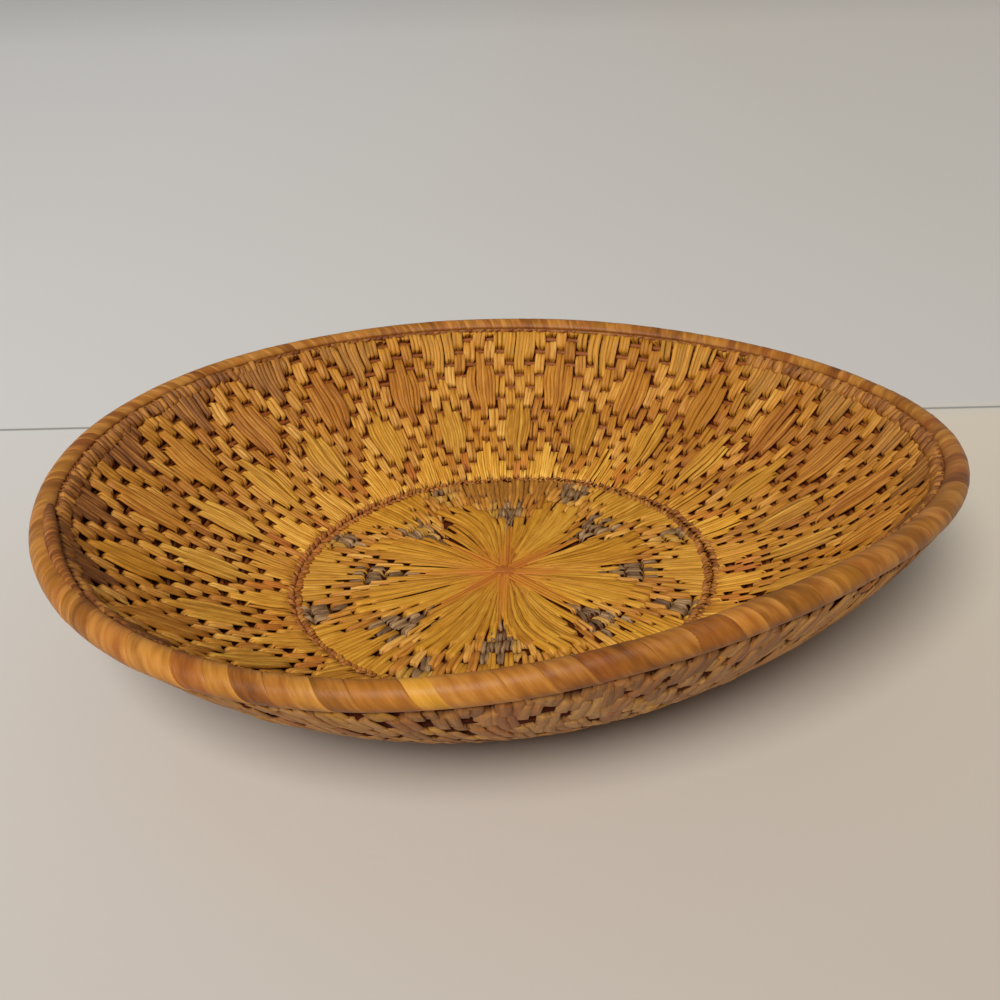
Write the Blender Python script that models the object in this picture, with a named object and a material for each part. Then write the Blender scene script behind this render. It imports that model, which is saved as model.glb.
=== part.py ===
"""A shallow round basket of coiled grass: wound floor and wall coils, cords, stitched bands and a wrapped rim.

Metres, +Z up. The origin lies on the surface that the basket stands on, under the middle of its floor.
+X is the basket's right-hand side and -Y its front. The basket is made by hand, so its rim dips and
bulges a little: those waves are given as shares of the rim and floor sizes.
"""

import math

import bmesh
import bpy
import numpy as np
from mathutils import Vector

MM = 0.001

# The bowl
RIM_RADIUS = 150.6 * MM  # mean radius to the middle of the rim roll
RIM_HEIGHT = 54.4 * MM  # mean height of the middle of the rim roll
FLOOR_RADIUS = 76.3 * MM  # mean radius of the floor inside its border cord
FLOOR_FACE_HEIGHT = 7.0 * MM  # height of the stitched floor's face at the border
BELLY = 6.3 * MM  # how far the wall bows out from a straight slope
RIM_TURN_IN = 4.2 * MM  # how far the stitched face passes inside the middle of the rim roll
CLEARANCE = 0.3 * MM  # between pieces that touch
TURN_GAP = 0.5 * MM  # between one turn of a coil and the next

# Waves of the hand-made shape, as shares of the size that they bend
RIM_OUT_SHARES = {2: (0.028, 0.033), 3: (0.014, 0.013)}  # cosine and sine, by waves in a turn
RIM_UP_SHARES = {1: (0.006, -0.070), 2: (-0.021, -0.065), 3: (-0.021, -0.014)}
FLOOR_OUT_SHARES = {2: (-0.024, 0.024)}
BELLY_SHARES = {1: (0.31, -0.11)}

PROFILE_STEPS = 60  # steps up the wall's curved profile, to measure along it

# Coils
STATIONS = 24  # points in one turn of a coil
WALL_ROWS = 13
FLOOR_ROWS = 11
COIL_FACE_DEPTH = 1.05 * MM  # from the stitched face of the wall back to its coil
TAPER_SHARE = 0.4  # how thick a coil still is where it starts and ends
FLOOR_TUCK = 3.5 * MM  # how far the last floor coil reaches in under the border cord
FLAT_SHARE = 0.1  # of the floor coil's diameter, cut off flat where the basket stands

# Cords and rim
BORDER_ROWS = 2
BORDER_SPAN = 4.4 * MM  # of both rows of the border cord, along the wall
BORDER_FACE_DEPTH = -0.2 * MM
COLLAR_RADIUS = 0.9 * MM
COLLAR_TURN = math.radians(-105)  # round the rim roll from the top of the wall, inwards
RIM_CORE_RADIUS = 3.2 * MM
WRAP_THICKNESS = 0.7 * MM
WRAP_LAP = 0.3 * MM  # step where one strip of the wrapping lies on the next
WRAP_SEAM = 0.3 * MM  # half the length of that step
WRAPS = 72
WRAP_SIDES = 7
WRAP_OPENING_SHARE = 0.09  # of the wrapping's round, left open for the collar

# Stitched bands of the wall, in rows up from the border
MOTIFS = 22
MOTIF_SHIFT_SHARE = 0.437  # of a motif, from +X
MOTIF_DRIFT_SHARES = {1: (-0.125, 0.341)}  # by which the motifs run ahead of even spacing, of a motif
STEPS_PER_MOTIF = 4
BAND_EDGE_SHARES = (0.035, 0.231, 0.538, 0.846, 1.0)  # mean height of each edge, of the wall's rows
BAND_WAVE_SHARE = 0.077  # height of the zigzag between two bands, of the wall's rows
LONG_STITCH_THICKNESS = 1.3 * MM
SHORT_STITCH_THICKNESS = 0.6 * MM
STITCH_CROWN_SHARE = 0.62  # width of a pad's top, of its bottom

# Floor stitching
PETALS = 8
PETAL_TURN = math.radians(20.5)  # direction of the first petal from +X
KNOT_RADIUS = 3.6 * MM
KNOT_SIDES = 12
PETAL_THICKNESS = 1.2 * MM
FAN_THICKNESS = 1.1 * MM
PATCH_THICKNESS = 0.9 * MM
PETAL_END_SHARE = 0.74  # of the floor's radius, as the ends below
PETAL_FILL_SHARE = 0.93  # of its eighth of the floor, where a petal starts
PETAL_POINT = 2.2  # the higher, the nearer its end a petal starts to narrow
PETAL_STEPS = 8
FAN_END_SHARES = (0.71, 0.975)
FAN_HALF_WIDTHS = (2.5 * MM, 19.5 * MM)
FAN_STEPS = 4
INNER_PATCH_END_SHARES = (0.44, 0.69)
INNER_PATCH_HALF_WIDTH = 6.5 * MM
OUTER_PATCH_END_SHARES = (0.77, 0.97)
OUTER_PATCH_HALF_WIDTH = 6.0 * MM
PATCH_STEPS = 4
TIP_HALF_WIDTH = 0.7 * MM

MERGE = 0.01 * MM  # points nearer than this are one point
OVERRUN = 5.0 * MM  # how far the cutting block reaches past the coil


def clear_scene():
    for thing in list(bpy.data.objects):
        bpy.data.objects.remove(thing, do_unlink=True)


def finish(name, colour, roughness):
    """A plain Principled material."""
    material = bpy.data.materials.new(name)
    material.use_nodes = True
    shader = material.node_tree.nodes["Principled BSDF"]
    shader.inputs["Base Color"].default_value = (*colour, 1.0)
    shader.inputs["Roughness"].default_value = roughness
    shader.inputs["Metallic"].default_value = 0.0
    return material


def wave(shares, theta):
    """The share that the waves add at an angle."""
    return sum(a * math.cos(n * theta) + b * math.sin(n * theta) for n, (a, b) in shares.items())


class Section:
    """The upright slice of the wall at one of the stations round it, as (radius, height)."""

    def __init__(self, station, stations):
        self.theta = 2 * math.pi * station / stations
        self.out = Vector((math.cos(self.theta), math.sin(self.theta), 0))
        self.foot_radius = FLOOR_RADIUS * (1 + wave(FLOOR_OUT_SHARES, self.theta))
        rim_radius = RIM_RADIUS * (1 + wave(RIM_OUT_SHARES, self.theta))
        rim_height = RIM_HEIGHT * (1 + wave(RIM_UP_SHARES, self.theta))
        self.foot = Vector((self.foot_radius, FLOOR_FACE_HEIGHT))
        self.rim = Vector((rim_radius, rim_height))
        self.slope = self.rim - self.foot
        self.slope_length = self.slope.length
        self.slope.normalize()
        self.belly = BELLY * (1 + wave(BELLY_SHARES, self.theta))
        self.shares = [step / PROFILE_STEPS for step in range(PROFILE_STEPS + 1)]
        faces = [self.face(share) for share in self.shares]
        steps = [(after - before).length for before, after in zip(faces, faces[1:])]
        self.lengths = [sum(steps[:count]) for count in range(len(faces))]
        self.length = self.lengths[-1]

    def face(self, share):
        """A point on the stitched face, at a share of the way from the border to the rim."""
        depth = self.belly * 4 * share * (1 - share) - RIM_TURN_IN * share**3
        span = self.slope * self.slope_length * share
        return self.foot + span + Vector((self.slope.y, -self.slope.x)) * depth

    def axes(self, along):
        """The face at a length up from the border, with its directions up the wall and out of it."""
        share = float(np.interp(along, self.lengths, self.shares))
        step = 1 / PROFILE_STEPS
        up = (self.face(share + step) - self.face(share - step)).normalized()
        return self.face(share), up, Vector((up.y, -up.x))

    def place(self, along, depth):
        """A point at a depth outwards from the stitched face."""
        spot, _, outwards = self.axes(along)
        return self.upright(spot + outwards * depth)

    def by_rim(self, along, depth):
        """A point at these distances, up the wall and out of it, from the rim's middle."""
        _, up, outwards = self.axes(self.length)
        return self.upright(self.rim + up * along + outwards * depth)

    def rim_place(self):
        """How far up the wall the rim's middle lies, and how deep outwards from the stitched face."""
        spot, up, outwards = self.axes(self.length)
        return self.length + (self.rim - spot).dot(up), (self.rim - spot).dot(outwards)

    def upright(self, spot):
        return self.out * spot.x + Vector((0, 0, spot.y))


SECTIONS = [Section(station, STATIONS) for station in range(STATIONS)]
RIM_SECTIONS = [Section(station, WRAPS) for station in range(WRAPS)]


def on_facets(sections, theta, point_of):
    """A point between two stations, on the flat facet that joins them."""
    turn = theta / (2 * math.pi) * len(sections)
    first = math.floor(turn)
    before, after = sections[first % len(sections)], sections[(first + 1) % len(sections)]
    return point_of(before).lerp(point_of(after), turn - first)


def beside(radius_a, radius_b, depth_a, depth_b):
    """How far along the wall two tubes at these depths lie apart when they touch but for the clearance."""
    reach = radius_a + radius_b + CLEARANCE
    return math.sqrt(max(reach**2 - (depth_a - depth_b) ** 2, 0))


WRAP_INSIDE_RADIUS = (RIM_CORE_RADIUS + CLEARANCE) / math.cos(math.pi * (1 - WRAP_OPENING_SHARE) / WRAP_SIDES)
RIM_OUTSIDE_RADIUS = WRAP_INSIDE_RADIUS + WRAP_THICKNESS
BORDER_RADIUS = (BORDER_SPAN / BORDER_ROWS - TURN_GAP) / 2
BORDER_DEPTH = BORDER_FACE_DEPTH + BORDER_RADIUS


def wall_rows(section):
    """Where the wall coil's rows start, the height of one row and the coil's radius, at a station."""
    rim_along, rim_depth = section.rim_place()
    last_cord = BORDER_SPAN * (1 - 0.5 / BORDER_ROWS)
    start, end, pitch, radius = BORDER_SPAN, rim_along - RIM_OUTSIDE_RADIUS, 0, 0
    for _ in range(6):
        pitch = (end - start) / WALL_ROWS
        radius = (pitch - TURN_GAP) / 2
        depth = COIL_FACE_DEPTH + radius
        start = last_cord + beside(BORDER_RADIUS, radius, BORDER_DEPTH, depth) - pitch / 2
        end = rim_along - beside(RIM_OUTSIDE_RADIUS + WRAP_LAP, radius, rim_depth, depth) + pitch / 2
    return start, pitch, radius


WALL_ROW_SIZES = {section.theta: wall_rows(section) for section in SECTIONS}


def coil_run(rows):
    """A coil's stations: (station, middle row, thickness in rows), thin at its start and its end."""
    first = math.ceil(TAPER_SHARE * STATIONS)
    for index in range(first, (rows + 1) * STATIONS - first + 1):
        turns = index / STATIONS
        low = min(max(turns - 1, 0), rows)
        high = min(turns, rows)
        yield index, (low + high) / 2, high - low


def least_gap(points, radii):
    """The least gap between a tube and its own other turns, on its points."""
    points = np.array([tuple(p) for p in points])
    radii = np.array(radii)
    apart = np.linalg.norm(points[:, None] - points[None], axis=2) - radii[:, None] - radii[None]
    index = np.arange(len(points))
    near = np.abs(index[:, None] - index[None]) < STATIONS / 2
    return float(np.where(near, np.inf, apart).min())


def add(name, data, material):
    thing = bpy.data.objects.new(name, data)
    bpy.context.scene.collection.objects.link(thing)
    if not data.materials:
        data.materials.append(material)
    return thing


def tube(name, points, radii, material):
    """A six-sided round cord through the points, one unbroken tube."""
    curve = bpy.data.curves.new(name, "CURVE")
    curve.dimensions = "3D"
    curve.twist_mode = "Z_UP"
    curve.bevel_depth = max(radii)
    curve.bevel_resolution = 1
    curve.use_fill_caps = True
    spline = curve.splines.new("POLY")
    spline.points.add(len(points) - 1)
    for target, point, radius in zip(spline.points, points, radii):
        target.co = (*point, 1.0)
        target.radius = radius / curve.bevel_depth
    spline.use_smooth = True
    return add(name, curve, material)


def as_mesh(thing):
    """Turns a curve object into a mesh object of the same name, with its caps joined on."""
    name, material = thing.name, thing.data.materials[0]
    graph = bpy.context.evaluated_depsgraph_get()
    mesh = bpy.data.meshes.new_from_object(thing.evaluated_get(graph))
    bpy.data.objects.remove(thing, do_unlink=True)
    mesh.name = name
    work = bmesh.new()
    work.from_mesh(mesh)
    bmesh.ops.remove_doubles(work, verts=work.verts, dist=MERGE)
    bmesh.ops.recalc_face_normals(work, faces=work.faces)
    work.to_mesh(mesh)
    work.free()
    return add(name, mesh, material)


def loft(name, sections, material, closed=False):
    """A solid skinned over like sections, run round into itself or closed at both ends."""
    work = bmesh.new()
    rings = [[work.verts.new(point) for point in section] for section in sections]
    pairs = list(zip(rings, rings[1:] + rings[:1]))
    for ring, after in pairs if closed else pairs[:-1]:
        for i in range(len(ring)):
            j = (i + 1) % len(ring)
            work.faces.new((ring[i], ring[j], after[j], after[i]))
    if not closed:
        work.faces.new(rings[0])
        work.faces.new(rings[-1])
    bmesh.ops.recalc_face_normals(work, faces=work.faces)
    mesh = bpy.data.meshes.new(name)
    work.to_mesh(mesh)
    work.free()
    mesh.shade_smooth()
    mesh.set_sharp_from_angle(angle=math.radians(40))
    return add(name, mesh, material)


def make_wall_coil(material):
    """The wall: one coil that climbs from the border cord to the collar."""
    points, radii = [], []
    for index, row, thickness in coil_run(WALL_ROWS):
        section = SECTIONS[index % STATIONS]
        start, pitch, radius = WALL_ROW_SIZES[section.theta]
        points.append(section.place(start + row * pitch, COIL_FACE_DEPTH + radius))
        radii.append((thickness * pitch - TURN_GAP) / 2)
    print(f"wall_coil least gap {least_gap(points, radii) / MM:.2f} mm")
    return tube("wall_coil", points, radii, material)


def floor_row_pitch(section):
    return (section.foot_radius + FLOOR_TUCK - KNOT_RADIUS - CLEARANCE) / FLOOR_ROWS


MEAN_FLOOR_PITCH = sum(floor_row_pitch(section) for section in SECTIONS) / STATIONS
FLOOR_COIL_RADIUS = (MEAN_FLOOR_PITCH - TURN_GAP) / 2
FLOOR_COIL_HEIGHT = FLOOR_COIL_RADIUS * (1 - 2 * FLAT_SHARE)  # of the coil's middle above the table
FLOOR_STITCH_SEAT = FLOOR_COIL_HEIGHT + FLOOR_COIL_RADIUS + CLEARANCE


def make_floor_coil(material):
    """The floor: one flat coil from the knot out to the border, cut flat where it stands."""
    points, radii = [], []
    for index, row, thickness in coil_run(FLOOR_ROWS):
        section = SECTIONS[index % STATIONS]
        pitch = floor_row_pitch(section)
        reach = KNOT_RADIUS + CLEARANCE + row * pitch
        points.append(section.out * reach + Vector((0, 0, FLOOR_COIL_HEIGHT)))
        radii.append((thickness * min(pitch, MEAN_FLOOR_PITCH) - TURN_GAP) / 2)
    print(f"floor_coil least gap {least_gap(points, radii) / MM:.2f} mm")
    coil = as_mesh(tube("floor_coil", points, radii, material))
    reach = FLOOR_RADIUS + FLOOR_COIL_RADIUS + OVERRUN
    work = bmesh.new()
    bmesh.ops.create_cube(work, size=1)
    bmesh.ops.scale(work, verts=work.verts, vec=(2 * reach, 2 * reach, OVERRUN))
    bmesh.ops.translate(work, verts=work.verts, vec=(0, 0, -OVERRUN / 2))
    block = bpy.data.meshes.new("table_block")
    work.to_mesh(block)
    work.free()
    cutter = add("table_block", block, material)
    cutter.hide_render = True
    cutter.display_type = "WIRE"
    cut = coil.modifiers.new("stands_flat", "BOOLEAN")
    cut.operation = "DIFFERENCE"
    cut.solver = "EXACT"
    cut.object = cutter
    return coil


def make_border_cord(material):
    """The thin cord that winds twice round where the floor turns up into the wall."""
    points, radii = [], []
    pitch = BORDER_SPAN / BORDER_ROWS
    for index, row, thickness in coil_run(BORDER_ROWS):
        section = SECTIONS[index % STATIONS]
        points.append(section.place(row * pitch, BORDER_DEPTH))
        radii.append((thickness * pitch - TURN_GAP) / 2)
    print(f"border_cord least gap {least_gap(points, radii) / MM:.2f} mm")
    return tube("border_cord", points, radii, material)


def make_hoop(name, turn, reach, radius, material):
    """A bundle bent once round the basket, its two ends a clearance apart, at a turn and a reach from the rim's middle."""
    points = [section.by_rim(math.cos(turn) * reach, math.sin(turn) * reach) for section in RIM_SECTIONS]
    closing = points[0] - points[-1]
    points.append(points[0] - closing.normalized() * 2 * CLEARANCE)
    return tube(name, points, [radius] * len(points), material)


def make_rim_wrap(material):
    """The wrapping of the rim: lapped strips round the core, open where they pass in beside the collar."""
    opening = math.pi * WRAP_OPENING_SHARE
    span = 2 * (math.pi - opening)
    corners = [COLLAR_TURN + opening + span * side / WRAP_SIDES for side in range(WRAP_SIDES + 1)]

    def vertex(theta, angle, radius):
        along, depth = math.cos(angle) * radius, math.sin(angle) * radius
        return on_facets(RIM_SECTIONS, theta, lambda section: section.by_rim(along, depth))

    def ring(theta, outside):
        outer = [vertex(theta, angle, outside) for angle in corners]
        inner = [vertex(theta, angle, WRAP_INSIDE_RADIUS) for angle in reversed(corners)]
        return outer + inner

    seam = WRAP_SEAM / RIM_RADIUS
    rings = []
    for wrap in range(WRAPS):
        start = 2 * math.pi * wrap / WRAPS
        end = 2 * math.pi * (wrap + 1) / WRAPS
        rings.append(ring(start + seam, RIM_OUTSIDE_RADIUS + WRAP_LAP))
        rings.append(ring(end - seam, RIM_OUTSIDE_RADIUS))
    return loft("rim_wrap", rings, material, closed=True)


def band_edge(edge, phase):
    """An edge of a stitched band in rows: a zigzag between bands, level along the border and the collar."""
    middle = BAND_EDGE_SHARES[edge] * WALL_ROWS
    if edge in (0, len(BAND_EDGE_SHARES) - 1):
        return middle
    zigzag = 4 * abs(phase - 0.5) - 1  # 1 at a motif's middle line, -1 halfway to the next
    return middle + (1 if edge % 2 == 0 else -1) * zigzag * BAND_WAVE_SHARE * WALL_ROWS


def motifs_to(theta):
    """How many motifs have passed at an angle from +X. The middle of a top fan lies at each whole number."""
    return MOTIFS * theta / (2 * math.pi) + MOTIF_SHIFT_SHARE + wave(MOTIF_DRIFT_SHARES, theta)


def angle_of(motifs):
    """The angle at which that many motifs have passed."""
    theta = 2 * math.pi * motifs / MOTIFS
    for _ in range(20):
        theta += 2 * math.pi * (motifs - motifs_to(theta)) / MOTIFS
    return theta


def make_band(name, lower, long_phase, material):
    """A ring of stitching on the wall's face: long stitches at each motif, short ones between."""
    rings = []
    for step in range(MOTIFS * STEPS_PER_MOTIF):
        phase = step / STEPS_PER_MOTIF % 1
        theta = angle_of(step / STEPS_PER_MOTIF)
        fullness = abs(2 * ((phase - long_phase) % 1) - 1)
        thickness = SHORT_STITCH_THICKNESS + (LONG_STITCH_THICKNESS - SHORT_STITCH_THICKNESS) * fullness
        low, high = band_edge(lower, phase), band_edge(lower + 1, phase)
        inset = (high - low) * (1 - STITCH_CROWN_SHARE) / 2
        back = COIL_FACE_DEPTH - CLEARANCE

        def vertex(row, depth, gap):
            def at(section):
                start, pitch, _ = WALL_ROW_SIZES[section.theta]
                return section.place(start + row * pitch + gap, depth)

            return on_facets(SECTIONS, theta, at)

        rings.append(
            [
                vertex(low, back, CLEARANCE / 2),
                vertex(high, back, -CLEARANCE / 2),
                vertex(high - inset, back - thickness, 0),
                vertex(low + inset, back - thickness, 0),
            ]
        )
    return loft(name, rings, material, closed=True)


def floor_radius_at(theta):
    """The radius of the floor inside the border cord, on the cord's facets."""
    return on_facets(SECTIONS, theta, lambda section: section.out * section.foot_radius).length


def make_floor_pad(name, theta, ends, half_widths, thickness, material):
    """A pad of stitches on the floor coil that runs outwards from the middle."""
    out = Vector((math.cos(theta), math.sin(theta), 0))
    across = Vector((-out.y, out.x, 0))
    sections = []
    for step, half in enumerate(half_widths):
        share = step / (len(half_widths) - 1)
        middle = out * (ends[0] + (ends[1] - ends[0]) * share)
        bottom = middle + Vector((0, 0, FLOOR_STITCH_SEAT))
        top = bottom + Vector((0, 0, thickness * (0.6 + 0.4 * math.sin(math.pi * share))))
        crown = half * STITCH_CROWN_SHARE
        sections.append(
            [bottom - across * half, bottom + across * half, top + across * crown, top - across * crown]
        )
    return loft(name, sections, material)


def make_petals(material):
    """Eight petals of long stitches that meet at the knot."""
    sector = math.pi / PETALS
    start = KNOT_RADIUS + CLEARANCE
    for petal in range(PETALS):
        theta = PETAL_TURN + 2 * sector * petal
        end = PETAL_END_SHARE * floor_radius_at(theta)
        halves = []
        for step in range(PETAL_STEPS + 1):
            share = step / PETAL_STEPS
            sector_half = (start + (end - start) * share) * math.sin(sector) * PETAL_FILL_SHARE
            halves.append((sector_half - CLEARANCE / 2) * (1 - share**PETAL_POINT) + TIP_HALF_WIDTH * share)
        make_floor_pad(f"petal_stitches_{petal + 1}", theta, (start, end), halves, PETAL_THICKNESS, material)


def make_fans(material):
    """Eight fans of long stitches along the border, between the petals' tips."""
    for fan in range(PETALS):
        theta = PETAL_TURN + math.pi / PETALS * (2 * fan + 1)
        radius = floor_radius_at(theta)
        inner, outer = (share * radius for share in FAN_END_SHARES)
        # The fan's corners lie farther out than its middle line.
        outer = math.sqrt(outer**2 - FAN_HALF_WIDTHS[1] ** 2)
        halves = [
            FAN_HALF_WIDTHS[0] + (FAN_HALF_WIDTHS[1] - FAN_HALF_WIDTHS[0]) * step / FAN_STEPS
            for step in range(FAN_STEPS + 1)
        ]
        make_floor_pad(f"floor_fan_stitches_{fan + 1}", theta, (inner, outer), halves, FAN_THICKNESS, material)


def make_patches(name, turn, end_shares, half_width, material):
    """Eight short-stitched patches, pointed towards the middle and the border."""
    for patch in range(PETALS):
        theta = PETAL_TURN + math.pi / PETALS * (2 * patch + turn)
        radius = floor_radius_at(theta)
        ends = [share * radius for share in end_shares]
        halves = [
            TIP_HALF_WIDTH + (half_width - TIP_HALF_WIDTH) * math.sin(math.pi * step / PATCH_STEPS)
            for step in range(PATCH_STEPS + 1)
        ]
        make_floor_pad(f"{name}_{patch + 1}", theta, ends, halves, PATCH_THICKNESS, material)


def make_knot(material):
    """The button that the coil starts from: a turned dome in the middle of the floor."""
    top = FLOOR_STITCH_SEAT + PETAL_THICKNESS
    waist = KNOT_RADIUS * (1 - FLAT_SHARE)
    outline = [(waist, 0), (KNOT_RADIUS, top / 3), (KNOT_RADIUS, top * 2 / 3), (waist * 0.6, top)]
    rings = []
    for radius, height in outline:
        rings.append(
            [
                Vector((math.cos(angle) * radius, math.sin(angle) * radius, height))
                for angle in (2 * math.pi * side / KNOT_SIDES for side in range(KNOT_SIDES))
            ]
        )
    return loft("start_knot", rings, material)


def build():
    clear_scene()
    grass = finish("coil_grass", (0.30, 0.13, 0.045), 0.8)
    gold = finish("golden_stitches", (0.62, 0.32, 0.05), 0.5)
    orange = finish("orange_stitches", (0.55, 0.24, 0.045), 0.5)
    grey = finish("mauve_grey_stitches", (0.21, 0.13, 0.10), 0.65)
    cord = finish("red_brown_cord", (0.36, 0.14, 0.055), 0.6)
    wrapping = finish("rim_wrapping", (0.50, 0.23, 0.06), 0.42)

    make_knot(cord)
    make_floor_coil(grass)
    make_petals(gold)
    make_fans(gold)
    make_patches("inner_grey_stitches", 1, INNER_PATCH_END_SHARES, INNER_PATCH_HALF_WIDTH, grey)
    make_patches("outer_grey_stitches", 0, OUTER_PATCH_END_SHARES, OUTER_PATCH_HALF_WIDTH, grey)
    make_border_cord(cord)
    make_wall_coil(grass)
    make_band("base_fan_stitches", 0, 0.5, gold)
    make_band("lower_lens_stitches", 1, 0.0, orange)
    make_band("upper_lens_stitches", 2, 0.5, gold)
    make_band("top_fan_stitches", 3, 0.0, orange)
    make_hoop("collar_cord", COLLAR_TURN, RIM_CORE_RADIUS + CLEARANCE + COLLAR_RADIUS, COLLAR_RADIUS, cord)
    make_hoop("rim_core", 0, 0, RIM_CORE_RADIUS, grass)
    make_rim_wrap(wrapping)


build()
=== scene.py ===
"""The looks of the shallow coiled grass basket: every stitch, cord and strip of its wrapping.

Metres, +Z up, in the frame of the construction. The stitches are laid on the same wall and floor
surfaces that the construction uses, in columns round the basket and rows up from its border.
"""

import math

import bpy
import numpy as np
from mathutils import Matrix, Vector


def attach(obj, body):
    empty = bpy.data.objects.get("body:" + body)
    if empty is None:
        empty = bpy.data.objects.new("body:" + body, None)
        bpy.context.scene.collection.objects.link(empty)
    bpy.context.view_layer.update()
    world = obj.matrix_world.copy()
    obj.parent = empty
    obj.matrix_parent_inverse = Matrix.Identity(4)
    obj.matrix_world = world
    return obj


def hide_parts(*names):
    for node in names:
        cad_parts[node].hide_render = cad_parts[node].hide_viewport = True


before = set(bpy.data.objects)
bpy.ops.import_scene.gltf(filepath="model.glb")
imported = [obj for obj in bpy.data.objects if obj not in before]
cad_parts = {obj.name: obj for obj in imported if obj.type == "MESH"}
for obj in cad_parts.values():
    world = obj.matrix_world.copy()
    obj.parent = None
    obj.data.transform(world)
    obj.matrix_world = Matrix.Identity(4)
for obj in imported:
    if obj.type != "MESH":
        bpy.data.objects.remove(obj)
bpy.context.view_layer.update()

MM = 0.001
TURN = 2 * math.pi

# The bowl, as the construction has it
RIM_RADIUS = 150.6 * MM
RIM_HEIGHT = 54.4 * MM
FLOOR_RADIUS = 76.3 * MM
FLOOR_FACE_HEIGHT = 7.0 * MM
BELLY = 6.3 * MM
RIM_TURN_IN = 4.2 * MM
RIM_OUT_SHARES = {2: (0.028, 0.033), 3: (0.014, 0.013)}
RIM_UP_SHARES = {1: (0.006, -0.070), 2: (-0.021, -0.065), 3: (-0.021, -0.014)}
FLOOR_OUT_SHARES = {2: (-0.024, 0.024)}
BELLY_SHARES = {1: (0.31, -0.11)}
WALL_ROWS = 13
WALL_START = 2.4 * MM  # along the wall, from the border to the first row
WALL_END_SHORT = 5.3 * MM  # from the last row to the rim roll's middle
WALL_COIL_DEPTH = 4.04 * MM
WALL_COIL_SHARE = 0.56  # radius of the coil's cord, as a share of the distance between its rows
OUTER_FACE_DEPTH = 7.2 * MM
FLOOR_ROWS = 11
FLOOR_START = 3.9 * MM
FLOOR_TUCK = 3.5 * MM
FLOOR_COIL_RADIUS = 4.1 * MM
FLOOR_COIL_FLATNESS = 0.7
FLOOR_COIL_HEIGHT = 3.16 * MM
FLOOR_STRAND_HEIGHT = 6.5 * MM  # of the strands' middles
RING_PITCH = (FLOOR_RADIUS + FLOOR_TUCK - FLOOR_START) / FLOOR_ROWS
ROLL_RADIUS = 4.35 * MM
ROLL_CORE_RADIUS = 3.8 * MM
COLLAR_TURN = math.radians(-105)

# The stitching
MOTIFS = 22
MOTIF_SHIFT_SHARE = 0.437
MOTIF_DRIFT_SHARES = {1: (-0.125, 0.341)}
COLUMNS_PER_MOTIF = 8
WALL_COLUMNS = MOTIFS * COLUMNS_PER_MOTIF
PETALS = 8
PETAL_TURN = math.radians(20.5)
COLUMNS_PER_PETAL = 16


def wave(shares, theta):
    """The share that the hand-made waves add at an angle."""
    return sum(a * np.cos(n * theta) + b * np.sin(n * theta) for n, (a, b) in shares.items())


def outwards_at(theta):
    return np.stack([np.cos(theta), np.sin(theta), np.zeros_like(theta)], axis=-1)


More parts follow.
